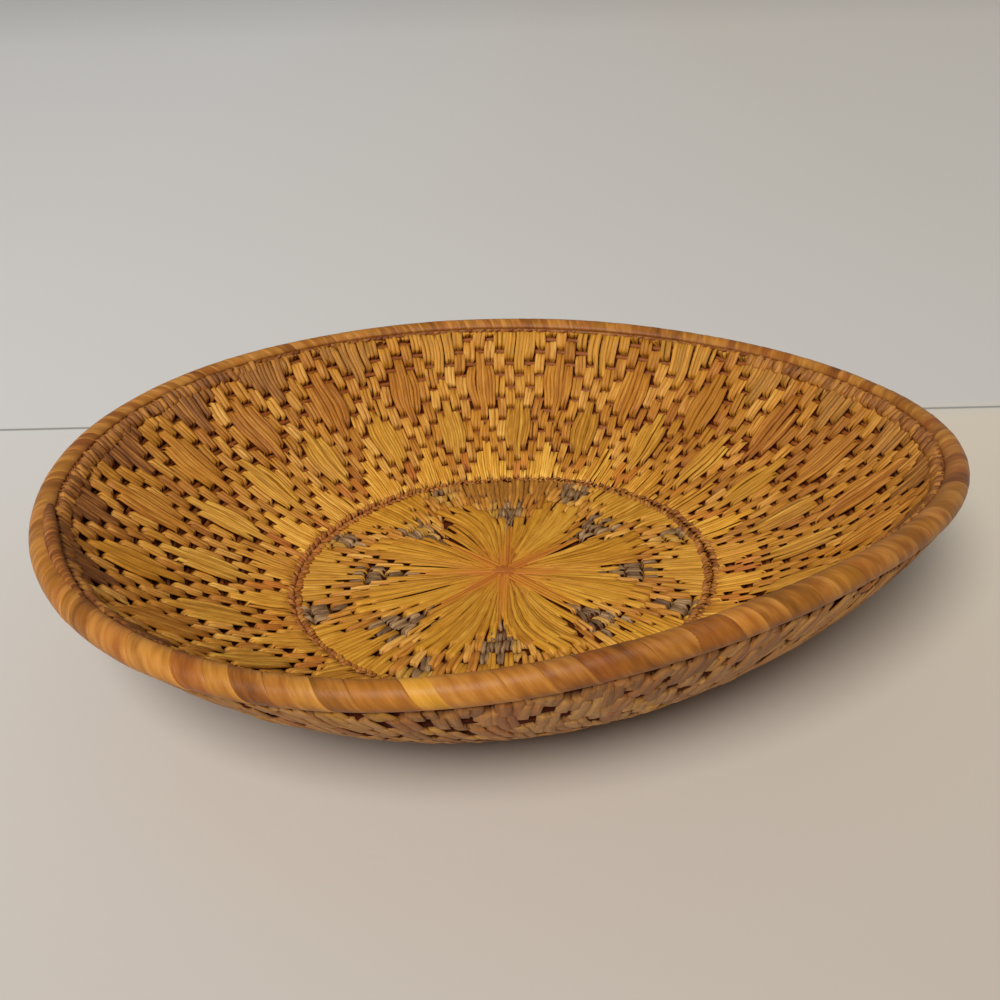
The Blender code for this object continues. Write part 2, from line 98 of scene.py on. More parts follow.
class Wall:
    """The stitched face of the wall, measured by angle round it and by length up it from the border."""

    ANGLES = 180
    STEPS = 80

    def __init__(self):
        theta = np.linspace(0, TURN, self.ANGLES + 1)
        share = np.linspace(0, 1, self.STEPS + 1)
        radius, height, _, _ = self.profile(theta[:, None], share[None])
        steps = np.hypot(np.diff(radius, axis=1), np.diff(height, axis=1))
        lengths = np.concatenate([np.zeros((len(theta), 1)), np.cumsum(steps, axis=1)], axis=1)
        self.lengths = lengths[:, -1]
        self.shares = np.array([np.interp(share, row / row[-1], share) for row in lengths])
        self.turns = theta
        top_radius, top_height, up, _ = self.axes(theta, self.lengths)
        rim_radius, rim_height = self.rim(theta)
        reach = (rim_radius - top_radius) * up[0] + (rim_height - top_height) * up[1]
        self.rim_along = self.lengths + reach

    def rim(self, theta):
        radius = RIM_RADIUS * (1 + wave(RIM_OUT_SHARES, theta))
        height = RIM_HEIGHT * (1 + wave(RIM_UP_SHARES, theta))
        return radius, height

    def foot(self, theta):
        return FLOOR_RADIUS * (1 + wave(FLOOR_OUT_SHARES, theta))

    def profile(self, theta, share):
        """Radius, height and their slopes at a share of the way up the face."""
        foot = self.foot(theta)
        rim_radius, rim_height = self.rim(theta)
        run, rise = rim_radius - foot, rim_height - FLOOR_FACE_HEIGHT
        length = np.hypot(run, rise)
        belly = BELLY * (1 + wave(BELLY_SHARES, theta))
        bow = belly * 4 * share * (1 - share) - RIM_TURN_IN * share**3
        lean = belly * 4 * (1 - 2 * share) - 3 * RIM_TURN_IN * share**2
        radius = foot + run * share + rise / length * bow
        height = FLOOR_FACE_HEIGHT + rise * share - run / length * bow
        return radius, height, run + rise / length * lean, rise - run / length * lean

    def at(self, values, theta):
        return np.interp(np.mod(theta, TURN), self.turns, values)

    def axes(self, theta, along):
        """Radius and height of a place on the face, with the directions up the wall and out of it."""
        theta = np.mod(theta, TURN)
        whole = self.at(self.lengths, theta)
        inside = np.clip(along, 0, whole)
        row = theta / TURN * self.ANGLES
        column = inside / whole * self.STEPS
        low_row = np.minimum(row.astype(int), self.ANGLES - 1)
        low_column = np.minimum(column.astype(int), self.STEPS - 1)
        a, b = row - low_row, column - low_column
        share = (
            self.shares[low_row, low_column] * (1 - a) * (1 - b)
            + self.shares[low_row + 1, low_column] * a * (1 - b)
            + self.shares[low_row, low_column + 1] * (1 - a) * b
            + self.shares[low_row + 1, low_column + 1] * a * b
        )
        radius, height, over, rise = self.profile(theta, share)
        size = np.hypot(over, rise)
        over, rise = over / size, rise / size
        beyond = along - inside
        return radius + over * beyond, height + rise * beyond, (over, rise), (rise, -over)

    def place(self, theta, along, depth):
        """Points at a depth outwards from the face, and the direction out of the wall there."""
        theta, along = np.broadcast_arrays(np.asarray(theta, float), np.asarray(along, float))
        radius, height, _, out = self.axes(theta, along)
        radius = radius + out[0] * depth
        height = height + out[1] * depth
        across = outwards_at(theta)
        points = across * radius[..., None]
        points[..., 2] = height
        normal = across * out[0][..., None]
        normal[..., 2] = out[1]
        return points, normal

    def pitch(self, theta):
        """How far apart the coil's rows are, measured up the wall."""
        return (self.at(self.rim_along, theta) - WALL_END_SHORT - WALL_START) / WALL_ROWS

    def by_row(self, theta, row, depth):
        """The same, by rows of the coil up from the border."""
        return self.place(theta, WALL_START + row * self.pitch(theta), depth)

    def by_roll(self, theta, turn, reach):
        """Points round the rim roll's middle, at a turn that starts up the wall and goes outwards."""
        theta, turn = np.broadcast_arrays(np.asarray(theta, float), np.asarray(turn, float))
        _, _, up, out = self.axes(theta, self.at(self.lengths, theta))
        rim_radius, rim_height = self.rim(theta)
        over = up[0] * np.cos(turn) + out[0] * np.sin(turn)
        rise = up[1] * np.cos(turn) + out[1] * np.sin(turn)
        across = outwards_at(theta)
        points = across * (rim_radius + over * reach)[..., None]
        points[..., 2] = rim_height + rise * reach
        normal = across * over[..., None]
        normal[..., 2] = rise
        return points, normal


WALL = Wall()


def angle_of(motifs):
    """The angle at which that many motifs have passed."""
    theta = TURN * motifs / MOTIFS
    for _ in range(12):
        passed = MOTIFS * theta / TURN + MOTIF_SHIFT_SHARE + wave(MOTIF_DRIFT_SHARES, theta)
        theta = theta + TURN * (motifs - passed) / MOTIFS
    return float(theta)


def floor_place(theta, ring, height):
    """Points over the floor by rings of its coil, and the direction up."""
    theta, ring = np.broadcast_arrays(np.asarray(theta, float), np.asarray(ring, float))
    pitch = (WALL.foot(theta) + FLOOR_TUCK - FLOOR_START) / FLOOR_ROWS
    points = outwards_at(theta) * (FLOOR_START + ring * pitch)[..., None]
    points[..., 2] = height
    normal = np.zeros_like(points)
    normal[..., 2] = 1
    return points, normal


# The four stitched surfaces. A height is measured towards whoever looks at the surface
STANDING_HEIGHT = 1.1 * MM  # no strand's middle is nearer to what the basket stands on
UNDERSIDE_HEIGHT = 1.5 * MM


def inside(theta, row, height):
    points, normal = WALL.by_row(theta, row, -height)
    return points, -normal


def outside(theta, row, height):
    points, normal = WALL.by_row(theta, row, OUTER_FACE_DEPTH + height)
    points[..., 2] = np.maximum(points[..., 2], STANDING_HEIGHT)
    return points, normal


def floor_top(theta, ring, height):
    return floor_place(theta, ring, FLOOR_STRAND_HEIGHT + height)


def floor_below(theta, ring, height):
    points, normal = floor_place(theta, ring, np.maximum(UNDERSIDE_HEIGHT - height, STANDING_HEIGHT))
    return points, -normal


def put(name, data):
    """A new object in the scene."""
    thing = bpy.data.objects.new(name, data)
    bpy.context.scene.collection.objects.link(thing)
    return thing


def write_values(mesh, values):
    """Gives a mesh's points the values that the finishes read."""
    for key, value in values.items():
        layer = mesh.attributes.new(key, "FLOAT", "POINT")
        layer.data.foreach_set("value", np.concatenate(value).astype(np.float32))


class Guides:
    """The middle lines of one piece's strands, with what the weaving and the finish need at each point."""

    VALUES = ("half", "run", "tone", "warm", "gilt", "shade")

    def __init__(self):
        self.points, self.out, self.count = [], [], 0
        self.joins = []  # edges, or a wrapping's faces
        self.values = {name: [] for name in self.VALUES}

    def add(self, points, out, half, tone, warm=0.0, gilt=0.0, shade=0.0):
        steps = np.linalg.norm(np.diff(points, axis=0), axis=1)
        given = {"half": half, "run": np.concatenate([[0], np.cumsum(steps)]), "tone": tone}
        given.update(warm=warm, gilt=gilt, shade=shade)
        for name, value in given.items():
            self.values[name].append(np.broadcast_to(value, len(points)))
        index = np.arange(self.count, self.count + len(points))
        self.joins.append(np.stack([index[:-1], index[1:]], axis=1))
        self.count += len(points)
        self.points.append(points)
        self.out.append(out)

    def mesh(self, name):
        mesh = bpy.data.meshes.new(name)
        points, edges = np.concatenate(self.points), np.concatenate(self.joins)
        mesh.vertices.add(len(points))
        mesh.vertices.foreach_set("co", points.astype(np.float32).ravel())
        mesh.edges.add(len(edges))
        mesh.edges.foreach_set("vertices", edges.astype(np.int32).ravel())
        out = mesh.attributes.new("out", "FLOAT_VECTOR", "POINT")
        out.data.foreach_set("vector", np.concatenate(self.out).astype(np.float32).ravel())
        write_values(mesh, self.values)
        mesh.update()
        return mesh


class Wire:
    """An output of a node. Sums of wires and numbers add Math nodes to its tree."""

    def __init__(self, tree, socket):
        self.tree, self.socket = tree, socket

    def node(self, kind, settings, inputs, output=0):
        return add_node(self.tree, kind, settings, inputs, output)

    def math(self, operation, first, second):
        return self.node("ShaderNodeMath", {"operation": operation}, {0: first, 1: second})

    def mix(self, first, second):
        """The first colour, and as much of the second as this wire says."""
        inputs = {"Factor_Float": self, "A_Color": first, "B_Color": second}
        return self.node("ShaderNodeMix", {"data_type": "RGBA"}, inputs, 2)

    def __add__(self, other):
        return self.math("ADD", self, other)

    def __sub__(self, other):
        return self.math("SUBTRACT", self, other)

    def __rsub__(self, other):
        return self.math("SUBTRACT", other, self)

    def __mul__(self, other):
        return self.math("MULTIPLY", self, other)

    def __abs__(self):
        return self.math("ABSOLUTE", self, 0.0)

    def most(self, other):
        return self.math("MAXIMUM", self, other)

    def least(self, other):
        return self.math("MINIMUM", self, other)

    __radd__ = __add__
    __rmul__ = __mul__


def add_node(tree, kind, settings, inputs, output=0):
    """Adds a node: its settings first, then the value or the wire of each socket."""
    node = tree.nodes.new(kind)
    for key, value in settings.items():
        if key == "stops":
            for index, (place, colour) in enumerate(value):
                stops = node.color_ramp.elements
                stop = stops[index] if index < 2 else stops.new(place)
                stop.position, stop.color = place, (*colour, 1)
        else:
            setattr(node, key, value)
    for key, value in inputs.items():
        if isinstance(key, str):
            socket = next(s for s in node.inputs if key in (s.identifier, s.name) and s.enabled)
        else:
            socket = node.inputs[key]
        if isinstance(value, Wire):
            tree.links.new(value.socket, socket)
        else:
            socket.default_value = value
    return Wire(tree, node.outputs[output])


def strand_tree():
    """Geometry Nodes: skins every guide line with a rounded strip that faces its own way outwards."""
    tree = bpy.data.node_groups.new("strands", "GeometryNodeTree")
    face = tree.interface
    face.new_socket("Guides", in_out="INPUT", socket_type="NodeSocketGeometry")
    for name, kind in (("Sides", "Int"), ("Crown", "Float"), ("Underside", "Float"), ("Finish", "Material")):
        face.new_socket(name, in_out="INPUT", socket_type="NodeSocket" + kind)
    face.new_socket("Strands", in_out="OUTPUT", socket_type="NodeSocketGeometry")
    enter = tree.nodes.new("NodeGroupInput")
    given = {socket.name: Wire(tree, socket) for socket in enter.outputs if socket.name}

    def add(kind, inputs, settings={}):
        return add_node(tree, kind, settings, inputs)

    circle = add("GeometryNodeCurvePrimitiveCircle", {"Resolution": given["Sides"], "Radius": 1.0})
    spot = add("GeometryNodeInputPosition", {})
    high = add("ShaderNodeSeparateXYZ", {"Vector": spot})
    wide = Wire(tree, high.socket.node.outputs[1])
    named = add(
        "GeometryNodeStoreNamedAttribute",
        {"Geometry": circle, "Name": "across", "Value": wide},
        {"data_type": "FLOAT", "domain": "POINT"},
    )
    height = high.most(0.0) * given["Crown"] + high.least(0.0) * given["Underside"]
    flat = add("ShaderNodeCombineXYZ", {"X": height, "Y": wide})
    profile = add("GeometryNodeSetPosition", {"Geometry": named, "Position": flat})
    curve = add("GeometryNodeMeshToCurve", {"Mesh": given["Guides"]})
    out = add("GeometryNodeInputNamedAttribute", {"Name": "out"}, {"data_type": "FLOAT_VECTOR"})
    turned = add("GeometryNodeSetCurveNormal", {"Curve": curve, "Normal": out}, {"mode": "FREE"})
    half = add("GeometryNodeInputNamedAttribute", {"Name": "half"}, {"data_type": "FLOAT"})
    skin = add(
        "GeometryNodeCurveToMesh",
        {"Curve": turned, "Profile Curve": profile, "Scale": half, "Fill Caps": True},
    )
    smooth = add("GeometryNodeSetShadeSmooth", {"Geometry": skin})
    real = add("GeometryNodeRealizeInstances", {"Geometry": smooth})
    dressed = add("GeometryNodeSetMaterial", {"Geometry": real, "Material": given["Finish"]})
    leave = tree.nodes.new("NodeGroupOutput")
    tree.links.new(dressed.socket, leave.inputs[0])
    return tree


STRANDS = strand_tree()


def weave(name, guides, finish, sides=6, crown=0.6, underside=0.35):
    """The piece that the guides make, as one plain mesh."""
    piece = put(name, guides.mesh(name + "_guides"))
    maker = piece.modifiers.new("strands", "NODES")
    maker.node_group = STRANDS
    given = {"Sides": sides, "Crown": crown, "Underside": underside, "Finish": FINISHES[finish]}
    for socket in STRANDS.interface.items_tree:
        if socket.name in given:
            maker[socket.identifier] = given[socket.name]
    graph = bpy.context.evaluated_depsgraph_get()
    graph.update()
    mesh = bpy.data.meshes.new_from_object(piece.evaluated_get(graph), depsgraph=graph)
    piece.modifiers.clear()
    guide_mesh = piece.data
    piece.data = mesh
    bpy.data.meshes.remove(guide_mesh)
    mesh.name = name
    return piece


def keep(piece, slot, *nodes):
    """Attaches a finished piece to the root body, and hides the model's parts that it stands for."""
    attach(piece, "root")
    if nodes:
        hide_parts(*nodes)


def srgb(*levels):
    """A colour as it looks, from 0 to 255, as the light that the shader counts in."""
    return tuple(((c / 255 + 0.055) / 1.055) ** 2.4 if c > 10 else c / 255 / 12.92 for c in levels)


# Painted shade: the dark colour that strand ends are mixed towards, by their shade value, where they dip
# into the pits and under other stitches
PIT_SHADE = srgb(92, 38, 14)
RUST = srgb(178, 92, 34)
GILT = srgb(230, 168, 40)
FIBRES = (4200.0, 130.0)  # to a metre, across a strand and along it
TONE_SHARE = 0.36  # of the level that a strand's own tone sets
BUMP_HEIGHT = 0.2 * MM


def new_material(name):
    """A material, its tree of nodes and its shader."""
    material = bpy.data.materials.new(name)
    material.use_nodes = True
    tree = material.node_tree
    return material, tree, tree.nodes["Principled BSDF"]


def grass_finish(
    name, deep, middle, bright, streaks=0.85, mottle=0.7, blotch=600.0, edges=0.32, gloss=0.0, shine=0.22
):
    """Dried grass: fine fibres, a tone of its own for each strand, painted shade along each strand's edges
    where the strands meet (a painted highlight there when edges is negative), and painted shade on the ends
    that dip into the pits.
    """
    material, tree, shader = new_material(name)

    def add(kind, settings, inputs, output=0):
        return add_node(tree, kind, settings, inputs, output)

    def value(key):
        return add("ShaderNodeAttribute", {"attribute_name": key}, {}, 2)

    def noise(across_scale, along_scale, shift, detail):
        spot = {"X": sideways * across_scale, "Y": run * along_scale, "Z": tone * shift}
        place = add("ShaderNodeCombineXYZ", {}, spot)
        inputs = {"Vector": place, "Scale": 1.0, "Detail": detail, "Roughness": 0.6}
        return add("ShaderNodeTexNoise", {}, inputs)

    across, run, tone = value("across"), value("run"), value("tone")
    sideways = across * value("half")
    fibres = noise(*FIBRES, 57.0, 3.0)
    patches = noise(blotch, 60 + blotch / 12, 31.0, 2.0)
    # painted shade along a strand's edges, where it meets its neighbours; with edges below nought this
    # paints a highlight there instead
    groove = (abs(across) - 0.5).most(0.0)
    level = tone * TONE_SHARE + fibres * streaks + patches * mottle - groove * edges
    level = level + (0.30 - (streaks + mottle) / 2)
    stops = [(0.10, srgb(*deep)), (0.85, srgb(*bright)), (0.45, srgb(*middle))]
    straw = add("ShaderNodeValToRGB", {"stops": stops}, {"Fac": level})
    reddened = value("warm").mix(straw, (*RUST, 1))
    gilded = (value("gilt") * (0.4 + fibres)).mix(reddened, (*GILT, 1))
    # painted shade: the dipping ends take the dark pit colour
    pit_shaded = value("shade").mix(gilded, (*PIT_SHADE, 1))
    tree.links.new(pit_shaded.socket, shader.inputs["Base Color"])
    rough = fibres * 0.22 + (0.39 - gloss)
    tree.links.new(rough.socket, shader.inputs["Roughness"])
    inputs = {"Height": fibres + patches * 0.6, "Distance": BUMP_HEIGHT, "Strength": 0.8}
    tree.links.new(add("ShaderNodeBump", {}, inputs).socket, shader.inputs["Normal"])
    shader.inputs["Specular IOR Level"].default_value = shine
    shader.inputs["Coat Weight"].default_value = gloss
    shader.inputs["Coat Roughness"].default_value = 0.35
    return material


FINISHES = {
    "short": grass_finish("short_stitch_grass", (124, 66, 18), (178, 115, 40), (226, 176, 90)),
    "gold": grass_finish("golden_grass", (128, 72, 16), (180, 119, 32), (218, 166, 64)),
    "yellow": grass_finish("yellow_grass", (148, 88, 22), (204, 142, 46), (240, 194, 90)),
    "olive": grass_finish("olive_grass", (126, 79, 20), (180, 122, 37), (218, 168, 70)),
    "orange": grass_finish("orange_grass", (122, 64, 14), (170, 106, 30), (206, 148, 60)),
    "dull": grass_finish("dull_brown_grass", (80, 42, 22), (144, 88, 38), (204, 142, 60)),
    "grey": grass_finish("mauve_grey_grass", (74, 48, 30), (128, 96, 62), (178, 142, 98), 0.9, 0.8),
    "cord": grass_finish("red_brown_cord", (80, 36, 12), (146, 84, 36), (194, 134, 66), 0.8),
    "back": grass_finish(
        "pinkish_tan_grass", (112, 66, 28), (163, 110, 55), (203, 153, 85), 0.6, edges=0.15
    ),
    # The core's dark colours are partly the grass's own and partly painted shade, so that the pits where the
    # core shows read dark
    "core": grass_finish("core_grass_and_pit_shade", (42, 15, 7), (68, 26, 10), (100, 46, 20), 0.7, 0.55, shine=0.02),
    # The rim's negative edges paint a pale highlight along the seam of each strip
    "rim": grass_finish(
        "rim_wrapping", (84, 40, 8), (136, 78, 23), (184, 124, 54), 0.35, 1.1, 260.0, edges=-0.4, gloss=0.06
    ),
}
WAVER = ((0.09, 7, 0.9, 0), (0.06, 17, -1.7, 1))  # each wave's size, its rates by the two places, its start


def waver(first, second):
    """A slow wandering, as a share of a column or a row, of hand-made rows."""
    return sum(size * np.sin(a * first + b * second + start) for size, a, b, start in WAVER)


def lean_over(points, normal, angle):
    """The outward directions, leant sideways by an angle."""
    along = np.gradient(points, axis=0)
    along /= np.linalg.norm(along, axis=1)[:, None]
    return normal * math.cos(angle) + np.cross(along, normal) * math.sin(angle)


class Stitch:
    """How one kind of stitch lies. Widths are shares of its column, and lengths along it shares of a row."""

    strands = 3
    spread = 0.66  # from the first strand's middle to the last one's
    closing = 0.25  # how much of the spread is lost where the strands dip
    half = 0.245  # half the width of a strand
    half_scatter = 0.07
    lift = 0.45 * MM  # of the strands' middles over the surface
    lift_scatter = 0.1 * MM
    crest = 0.0  # more lift, at the middle of a long stitch
    sink = 2.1 * MM  # of the ends under the surface
    inset = 0.08  # from the line between two rows to the stitch's own end
    reach = 0.26  # over which an end dips
    ragged = 0.05  # scatter of each strand's own ends
    lean = 0.0  # sideways, from end to end
    lean_scatter = 0.1
    loose = 0.05  # scatter of the strands sideways
    gather = 0.0  # how far the strands draw together at the ends
    pillow = math.radians(14)  # how far the outer strands turn away
    narrow = 0.32  # how much a strand thins where it dips
    # painted shade: how far a strand's dipping ends are darkened towards the pit colour
    shade = 0.6
    darker = 0.0  # taken from every tone; make_inside uses it for painted shade on the wall's left and right
    tone_scatter = 0.14
    point_gap = 0.62  # at most, between the points of a strand's middle stretch

    def __init__(self, **changes):
        for name, value in changes.items():
            setattr(self, name, value)

    def stations(self, length):
        """Where a strand has its points along it: close together at its two ends, where it dips."""
        near = [self.inset, self.inset + self.reach * 0.45, self.inset + self.reach]
        inner = length - 2 * near[-1]
        count = max(1, round(inner / self.point_gap))
        middle = [near[-1] + inner * (k + 1) / (count + 1) for k in range(count)]
        return np.array(near + middle + [length - place for place in reversed(near)])

    def lay(self, guides, rng, surface, theta, low, high, step, tone=None, warm=0.0, gilt=0.0, axis=None):
        """Lays one stitch over the rows from low to high, at an angle, in a column of angular width step."""
        length = high - low
        spots = self.stations(length)
        ends = self.inset * rng.uniform(0.2, 1.6, 2)
        middle = 1 - np.abs(2 * spots / length - 1)
        lean = (self.lean + rng.normal(0, self.lean_scatter)) * (spots / length - 0.5)
        drawn = 1 - self.gather * (1 - middle) ** 1.5
        rows = low + spots
        tone = rng.random() if tone is None else tone
        for index in range(self.strands):
            share = index / (self.strands - 1) - 0.5
            first, last = ends + rng.normal(0, self.ragged, 2)
            edge = np.clip(np.minimum(spots - first, length - spots - last) / self.reach, 0, 1)
            dips = 1 - edge * edge * (3 - 2 * edge)
            aside = share * self.spread * (1 - self.closing * dips) + rng.normal(0, self.loose) + lean
            place = theta + step * aside
            crest = 0.0
            if axis is not None:
                place = axis + (place - axis) * drawn
                crest = self.crest * np.sin(math.pi / 2 * middle) * (1 - ((theta - axis) / step / 2) ** 2)
            rise = (self.lift + crest + rng.normal(0, self.lift_scatter)) * (1 - dips) - self.sink * dips
            place = place + step * waver(theta, rows)
            points, normal = surface(place, rows + 0.5 * waver(rows, theta * 3), rise)
            radius = np.hypot(points[:, 0], points[:, 1])
            half = step * radius * self.half * (1 + rng.normal(0, self.half_scatter))
            half = half * (1 - self.narrow * dips) * drawn**0.4
            out = lean_over(points, normal, self.pillow * 2 * share)
            own = np.clip(tone - self.darker + rng.normal(0, self.tone_scatter), 0, 1)
            guides.add(points, out, half, own, warm, gilt, dips * self.shade)


# Pits lie on every other crossing of a column and a line, but not on these of each motif, where long
# stitches pass. Lines are counted down from the rim
SKIPPED_PITS = {
    (0, 2), (1, 1), (7, 1),
    (4, 4), (4, 6), (3, 5), (5, 5),
    (0, 8), (0, 10), (1, 9), (7, 9),
    (4, 12), (3, 13), (5, 13),
}
LAST_LINE = 14
HALF_MOTIF = COLUMNS_PER_MOTIF // 2
SHORTEST_STITCH = 0.6  # rows or rings; a shorter one is left out
WALL_TOP_ROW = 13.75
RIBS_AT = 0.72  # cosine of the angle to the left and the right where the top row is sewn close
RIBS_LOW_ROW = 12.6
BAND_LOOKS = {
    "top_fan": ("dull", "orange_stitches"),
    "upper_lens": ("orange", "golden_stitches"),
    "lower_lens": ("olive", "orange_stitches"),
    "base_fan": ("yellow", "golden_stitches"),
}


def wall_stitches():
    """Every stitch of the wall's inside: (column, low row, high row, band)."""
    for column in range(WALL_COLUMNS):
        place = column % COLUMNS_PER_MOTIF
        lines = range(-1, LAST_LINE + 2)
        pits = [line for line in lines if (place + line) % 2 == 0 and (place, line) not in SKIPPED_PITS]
        if pits[0] > -1:
            pits.insert(0, -1)
        if pits[-1] < LAST_LINE + 1:
            pits.append(LAST_LINE + 1)
        side = min(place, COLUMNS_PER_MOTIF - place)
        for top, bottom in zip(pits, pits[1:]):
            band = "short"
            if top <= 0 and side + bottom <= HALF_MOTIF:
                band = "top_fan"
            elif bottom >= LAST_LINE and side >= 1 and top + side >= LAST_LINE:
                band = "base_fan"
            elif bottom - top > 2:
                band = "lower_lens" if side <= 1 else "upper_lens"
            yield column, LAST_LINE - bottom, LAST_LINE - top, band


BORDER_THINNEST = 0.22  # of the border cord's full thickness


def fullness(theta):
    """How full the border cord is: it is squeezed thin at the back and the front."""
    return BORDER_THINNEST + (1 - BORDER_THINNEST) * np.abs(np.cos(theta)) ** 0.8


def wall_foot_row(theta):
    """The row at which the wall's stitches come out from under the border cord."""
    return -0.05 - 0.35 * (1 - fullness(theta))


def make_inside():
    """The wall's inside: plump short stitches, and the fans and lenses of long strands."""
    rng = np.random.default_rng(7)
    bands = {name: Guides() for name in ("short", *BAND_LOOKS)}
    short = Stitch()
    fan = Stitch(half=0.23, lift=0.6 * MM, tone_scatter=0.22)
    lens = Stitch(half=0.25, lift=0.6 * MM, crest=0.6 * MM, gather=0.24, tone_scatter=0.22)
    rib = Stitch(strands=2, spread=0.5, half=0.3, lift=1.0 * MM, sink=1.4 * MM, shade=0.5, lean_scatter=0.2)
    ribs = Guides()
    tones = {band: rng.normal(0.5, 0.16, MOTIFS + 1) for band in BAND_LOOKS}
    gilts = {band: np.clip(rng.normal(0.08, 0.22, MOTIFS + 1), 0, 0.6) for band in BAND_LOOKS}
    for column, low, high, band in wall_stitches():
        place = column % COLUMNS_PER_MOTIF
        theta, before, after = (angle_of((column + k) / COLUMNS_PER_MOTIF) for k in (0, -0.5, 0.5))
        low, high = max(low, wall_foot_row(theta)), min(high, WALL_TOP_ROW)
        if high - low < SHORTEST_STITCH:
            continue
        # The tones follow the angle round the wall: darker to the left and the right is painted shade on the
        # sides that the window lights least; lighter and more golden at the back is partly the grass's own
        # colour and partly painted light on the wall that faces the window
        back, right, left = 0.5 + 0.5 * math.sin(theta), max(math.cos(theta), 0), max(-math.cos(theta), 0)
        short.darker = 0.35 * right + 0.15 * left
        if band == "short":
            reddish = low < 2.4 and min(place, COLUMNS_PER_MOTIF - place) <= 1 and rng.random() < 0.6
            warm = 0.5 * reddish + 0.2 * rng.random() ** 4
            gilt = 0.25 * rng.random()
            short.lay(bands[band], rng, inside, theta, low, high, after - before, None, warm, gilt)
            continue
        between = band in ("upper_lens", "base_fan")
        motif = column // COLUMNS_PER_MOTIF if between else round(column / COLUMNS_PER_MOTIF)
        axis = angle_of(motif + 0.5 * between)
        look = fan if band.endswith("fan") else lens
        look.darker = 0.25 * right
        brighter = {"top_fan": 0.4 * back - 0.2 - 0.25 * left, "base_fan": 0.6 * back - 0.5}
        tone = tones[band][motif] + brighter.get(band, 0)
        gilt = gilts[band][motif] * (1.2 - 0.8 * back)
        if band == "top_fan":
            gilt = 0.4 * back**2 * (1 - left)
        look.loose, look.tone_scatter = 0.05 + 0.06 * right, 0.2 + 0.15 * right
        look.lay(bands[band], rng, inside, theta, low, high, after - before, tone, 0.0, gilt, axis)
    for column in range(WALL_COLUMNS):
        theta = angle_of(column / COLUMNS_PER_MOTIF)
        if abs(math.cos(theta)) > RIBS_AT:
            tone = 0.2 + 0.8 * rng.random()
            rib.lay(ribs, rng, inside, theta, RIBS_LOW_ROW, WALL_TOP_ROW + 0.1, TURN / WALL_COLUMNS, tone)
    keep(weave("top_rib_stitches", ribs, "dull", 6, 0.6), "golden_stitches")
    keep(weave("inner_short_stitches", bands["short"], "short", 6, 0.55), "golden_stitches")
    for band, (finish, slot) in BAND_LOOKS.items():
        keep(weave(band + "_strands", bands[band], finish, 6, 0.7), slot, band + "_stitches")


OUTER_GAPS = (-0.34, -0.2, 0.12, 0.24)  # rows from a stitch's end to its line: two laps, pit, large pit
OUTER_GAP_SHARES = (0.3, 0.25, 0.3, 0.15)
OUTER_FIRST_ROW = -0.4
OUTER_LAST_ROW = WALL_ROWS + 0.5
OUTER_SHORTEST = 0.7
OUTER_LEAN = 0.7
PIT_END = (2.2 * MM, 0.9)  # sink and shade of a stitch that ends at a pit
LAPPED_END = (1.0 * MM, 0.25)


def make_outside():
    """The wall's outside: flat, slanted stitches that close up to one skin, but for scattered pits."""
    rng = np.random.default_rng(11)
    look = Stitch(strands=2, spread=0.6, half=0.44, lift=0.2 * MM, reach=0.22, pillow=0.03)
    look.loose, look.lean_scatter, look.narrow, look.tone_scatter = 0.06, 0.25, 0.1, 0.1
    halves = {"outer_lower_stitches": Guides(), "outer_upper_stitches": Guides()}
    step = TURN / WALL_COLUMNS
    for column in range(WALL_COLUMNS):
        lines = range(-(column % 2), WALL_ROWS + 3, 2)
        gaps = rng.choice(OUTER_GAPS, len(lines), p=OUTER_GAP_SHARES)
        for low, before, after in zip(lines, gaps, gaps[1:]):
            first, last = max(low + before, OUTER_FIRST_ROW), min(low + 2 - after, OUTER_LAST_ROW)
            if last - first < OUTER_SHORTEST:
                continue
            look.lean = OUTER_LEAN * math.sin(3 * step * column + 0.4 * low)
            look.sink, look.shade = PIT_END if max(before, after) > 0 else LAPPED_END
            piece = "outer_lower_stitches" if low < WALL_ROWS / 2 else "outer_upper_stitches"
            warm, gilt = 0.2 * (rng.random() < 0.1), 0.3 * (rng.random() < 0.1)
            look.lay(halves[piece], rng, outside, step * column, first, last, step, None, warm, gilt)
    for name, guides in halves.items():
        keep(weave(name, guides, "back", 6, 0.16, 0.3), "coil_grass")


COIL_FROM = math.radians(315)
COIL_STEPS = 6  # a cord's ends and its step from row to row take a sixth of a turn
BED_TONE = 0.4
BORDER_BEDS = ((2.2 * MM, 2.6 * MM, 2.5 * MM), (4.4 * MM, 3.2 * MM, 2.7 * MM))  # along, depth, radius
COLLAR_BED_RADIUS = 2.9 * MM
VALLEY_DEPTH = 2.5 * MM  # of the loose grass that shows in the pits between two rows
VALLEY_RADIUS = 1.3 * MM


def wound(rows, per_turn):
    """Angles, rows, tapers and tones of a cord that steps on by one row in each turn, at the front."""
    turns = np.arange(0, rows, 1 / per_turn)
    theta = TURN * turns + COIL_FROM
    step = np.clip((turns % 1 - 1) * COIL_STEPS + 1, 0, 1)
    taper = np.clip(np.minimum(turns, rows - turns) * COIL_STEPS, 0.3, 1)
    row = np.minimum(np.floor(turns) + 0.5 + step, rows - 0.5)
    return theta, row, taper, 0.5 + 0.3 * np.sin(theta * 1.4)


